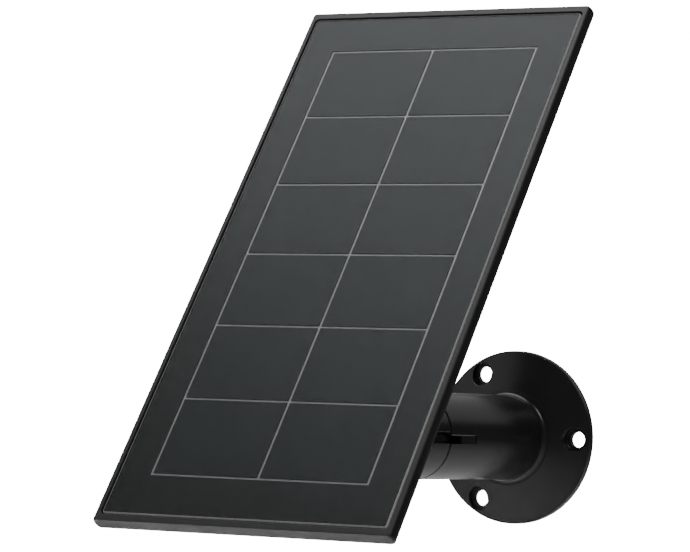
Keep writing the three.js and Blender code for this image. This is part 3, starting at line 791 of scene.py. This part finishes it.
def make_vent():
    back = BAY_BACK - 0.15
    place = BAY @ Matrix.Translation((VENT_X, VENT_Y, 0))
    outline = soften([
        (2.8, BAY_BACK + 2.4), (2.8, back), (5.0, back, 0.2), (5.0, -17.6, 0.4),
        (4.2, -18.2, 0.5), (2.4, -18.2, 0.2), (2.2, -17.9, 0.2), (1.0, -17.9),
    ])
    vent = lathe("vent_plug_body", outline, place, SMALL_ROUND)
    notches = []
    for i in range(6):
        notch = place @ Matrix.Rotation(math.pi / 3 * i, 4, "Z")
        notches.append(loft("notch", [[(2.7, -0.45, z), (6, -0.45, z), (6, 0.45, z), (2.7, 0.45, z)]
                                      for z in (-19, -17.75)], notch))
    return smooth(carve(vent, notches))


def make_gland():
    place = BAY @ Matrix.Translation((0, -BAY_Y, GLAND_Z)) @ Matrix.Rotation(-math.pi / 2, 4, "X")
    body = lathe("gland_body_turned", soften([
        (2.9, -6.0), (3.6, -6.0), (4.0, -5.6), (4.0, 2.1), (4.7, 2.1, 0.2), (4.7, 3.4, 0.3), (2.9, 3.4),
    ], closed=True), place, SMALL_ROUND, closed=True)
    outline = soften([
        (2.4, -10.9, 0.3), (3.6, -10.9, 0.6), (5.2, -8.4, 0.8), (5.2, -0.3, 0.4), (4.15, -0.3),
        (4.15, -9.2), (2.4, -9.2),
    ], closed=True)
    ribs, loops = 12, []
    for radius, z in outline:
        share = max(0.0, min(1.0, (radius - 4.6) / 0.6))
        loop = []
        for i in range(ribs * 12):
            angle = 2 * math.pi * i / (ribs * 12)
            wave = (0.5 - 0.5 * math.cos(ribs * angle)) ** 2
            local = radius - 0.45 * share * wave
            loop.append((local * math.cos(angle), local * math.sin(angle), z))
        loops.append(loop)
    nut = loft("gland_nut_ribbed", loops, place, closed=True)
    return smooth(body), smooth(nut)


install(make_frame(), "panel", FRAME, "frame_plastic", "front_frame")
install(make_front_sheet(), "panel", SHEET, "front_glass", "front_sheet")
# The pale rim is a painted highlight: it draws the bright line along the pocket's inner edge.
install(make_laminate_edge(), "panel", PAINTED_HIGHLIGHT_RESIN, "backing_grey")
install(make_rear_housing(), "panel", FRAME, "frame_plastic", "rear_housing")
screw_number = 0
for x in (-SCREW_X, SCREW_X):
    for y in (-SCREW_Y, SCREW_Y):
        screw_number += 1
        head = make_screw_head(f"bay_screw_{screw_number}_head", x, y)
        install(head, "panel", DARK_STEEL, "dark_steel", f"bay_screw_{screw_number}")
install(make_vent(), "panel", RUBBER, "black_rubber", "vent_plug")
gland_body, gland_nut = make_gland()
install(gland_body, "panel", BLACK, "black_plastic", "gland_body")
install(gland_nut, "panel", BLACK, "black_plastic", "gland_nut")

# ---------------------------------------------------------------- carried-over CAD nodes

SLOT_FINISH = {
    "black_plastic": BLACK,
    "frame_plastic": FRAME,
    "front_glass": SHEET,
    "solar_cell": CELL,
    "film_black": FILM,
    "backing_grey": BACKING,
    "black_rubber": RUBBER,
    "nylon": NYLON,
    "steel": STEEL,
    "dark_steel": DARK_STEEL,
    "brass": BRASS,
    "copper": COPPER,
    "board_green": BOARD,
}

for part in frame["record"]["subparts"]:
    node = frame["nodes"][part["node"]]
    node.data.materials.clear()
    node.data.materials.append(SLOT_FINISH[part["material_slot"]])

# ---------------------------------------------------------------- camera, floor and light


def make_camera():
    camera = bpy.data.cameras.new("camera")
    camera.lens = 173.14
    camera.sensor_width = 36
    camera.shift_x = -0.5 / PHOTO_WIDTH
    azimuth, elevation, roll = (math.radians(angle) for angle in (32.478, -2.1635, 1.9405))
    back = Vector((math.sin(azimuth) * math.cos(elevation), -math.cos(azimuth) * math.cos(elevation),
                   math.sin(elevation)))
    eye = Vector((0.54304, -0.96271, 0.00998))
    turned = back.to_track_quat("Z", "Y").to_matrix().to_4x4() @ Matrix.Rotation(roll, 4, "Z")
    holder = bpy.data.objects.new("camera", camera)
    bpy.context.scene.collection.objects.link(holder)
    holder.matrix_world = Matrix.Translation(eye) @ turned
    bpy.context.scene.camera = holder


def make_floor():
    radius = 4
    floor = loft("floor", [circle(radius, z, 96) for z in (-0.02, 0)],
                 Matrix.Translation((0, -0.1, FLOOR_LEVEL)))
    pale = Nodes("pale_floor")
    mottle = pale.ramp(pale.noise(3), ((0.3, grey(0.78)), (0.7, grey(0.82))))
    pale.link(mottle, pale.shader.inputs["Base Color"])
    pale.set(Roughness=0.7)
    floor.data.materials.append(pale.material)


def make_world():
    """White behind the object, and a dim grey room around it."""
    world = bpy.data.worlds.new("studio")
    world.use_nodes = True
    bpy.context.scene.world = world
    tree = world.node_tree
    room = tree.nodes["Background"]
    room.inputs["Color"].default_value = (1, 1, 1, 1)
    room.inputs["Strength"].default_value = 0.06
    backdrop = tree.nodes.new("ShaderNodeBackground")
    backdrop.inputs["Color"].default_value = (1, 1, 1, 1)
    backdrop.inputs["Strength"].default_value = 20.0
    seen = tree.nodes.new("ShaderNodeLightPath")
    mix = tree.nodes.new("ShaderNodeMixShader")
    tree.links.new(seen.outputs["Is Camera Ray"], mix.inputs["Fac"])
    tree.links.new(room.outputs["Background"], mix.inputs[1])
    tree.links.new(backdrop.outputs["Background"], mix.inputs[2])
    tree.links.new(mix.outputs["Shader"], tree.nodes["World Output"].inputs["Surface"])


def softbox(name, at, aim, width, height, radiance, spread=180):
    """Rectangular light whose surface is as bright as its radiance says, whatever its size."""
    light = bpy.data.lights.new(name, "AREA")
    light.shape = "RECTANGLE"
    light.size = width
    light.size_y = height
    light.energy = radiance * math.pi * width * height
    light.spread = math.radians(spread)
    holder = bpy.data.objects.new(name, light)
    bpy.context.scene.collection.objects.link(holder)
    direction = Vector(aim) - Vector(at)
    holder.matrix_world = Matrix.Translation(at) @ direction.to_track_quat("-Z", "Y").to_matrix().to_4x4()


make_camera()
make_floor()
make_world()
# Each light's name, place, aim, width and height in metres, its radiance, and its spread in degrees
# if it is narrow.
LIGHTS = (
    ("key", (-0.28, 0.0, 1.0), (-0.05, -0.08, 0.0), 0.9, 0.75, 2.6),
    ("fill", (0.6, -0.85, 0.9), (0, -0.08, 0.0), 0.5, 0.5, 6.0),
    ("left", (-1.05, -0.95, 0.5), (0, -0.05, 0.0), 1.2, 1.1, 0.5),
    ("back", (0.1, 1.7, 1.0), (0, 0, 0), 2.0, 0.8, 0.32),
    ("sweep", (-1.3, 1.0, 0.9), (-0.1, 0.2, FLOOR_LEVEL), 1.6, 1.6, 2.6),
    ("wash", (-0.95, 0.5, 0.7), (-0.2, -0.06, FLOOR_LEVEL), 0.4, 0.4, 1.8, 24),
)
for light in LIGHTS:
    softbox(*light)
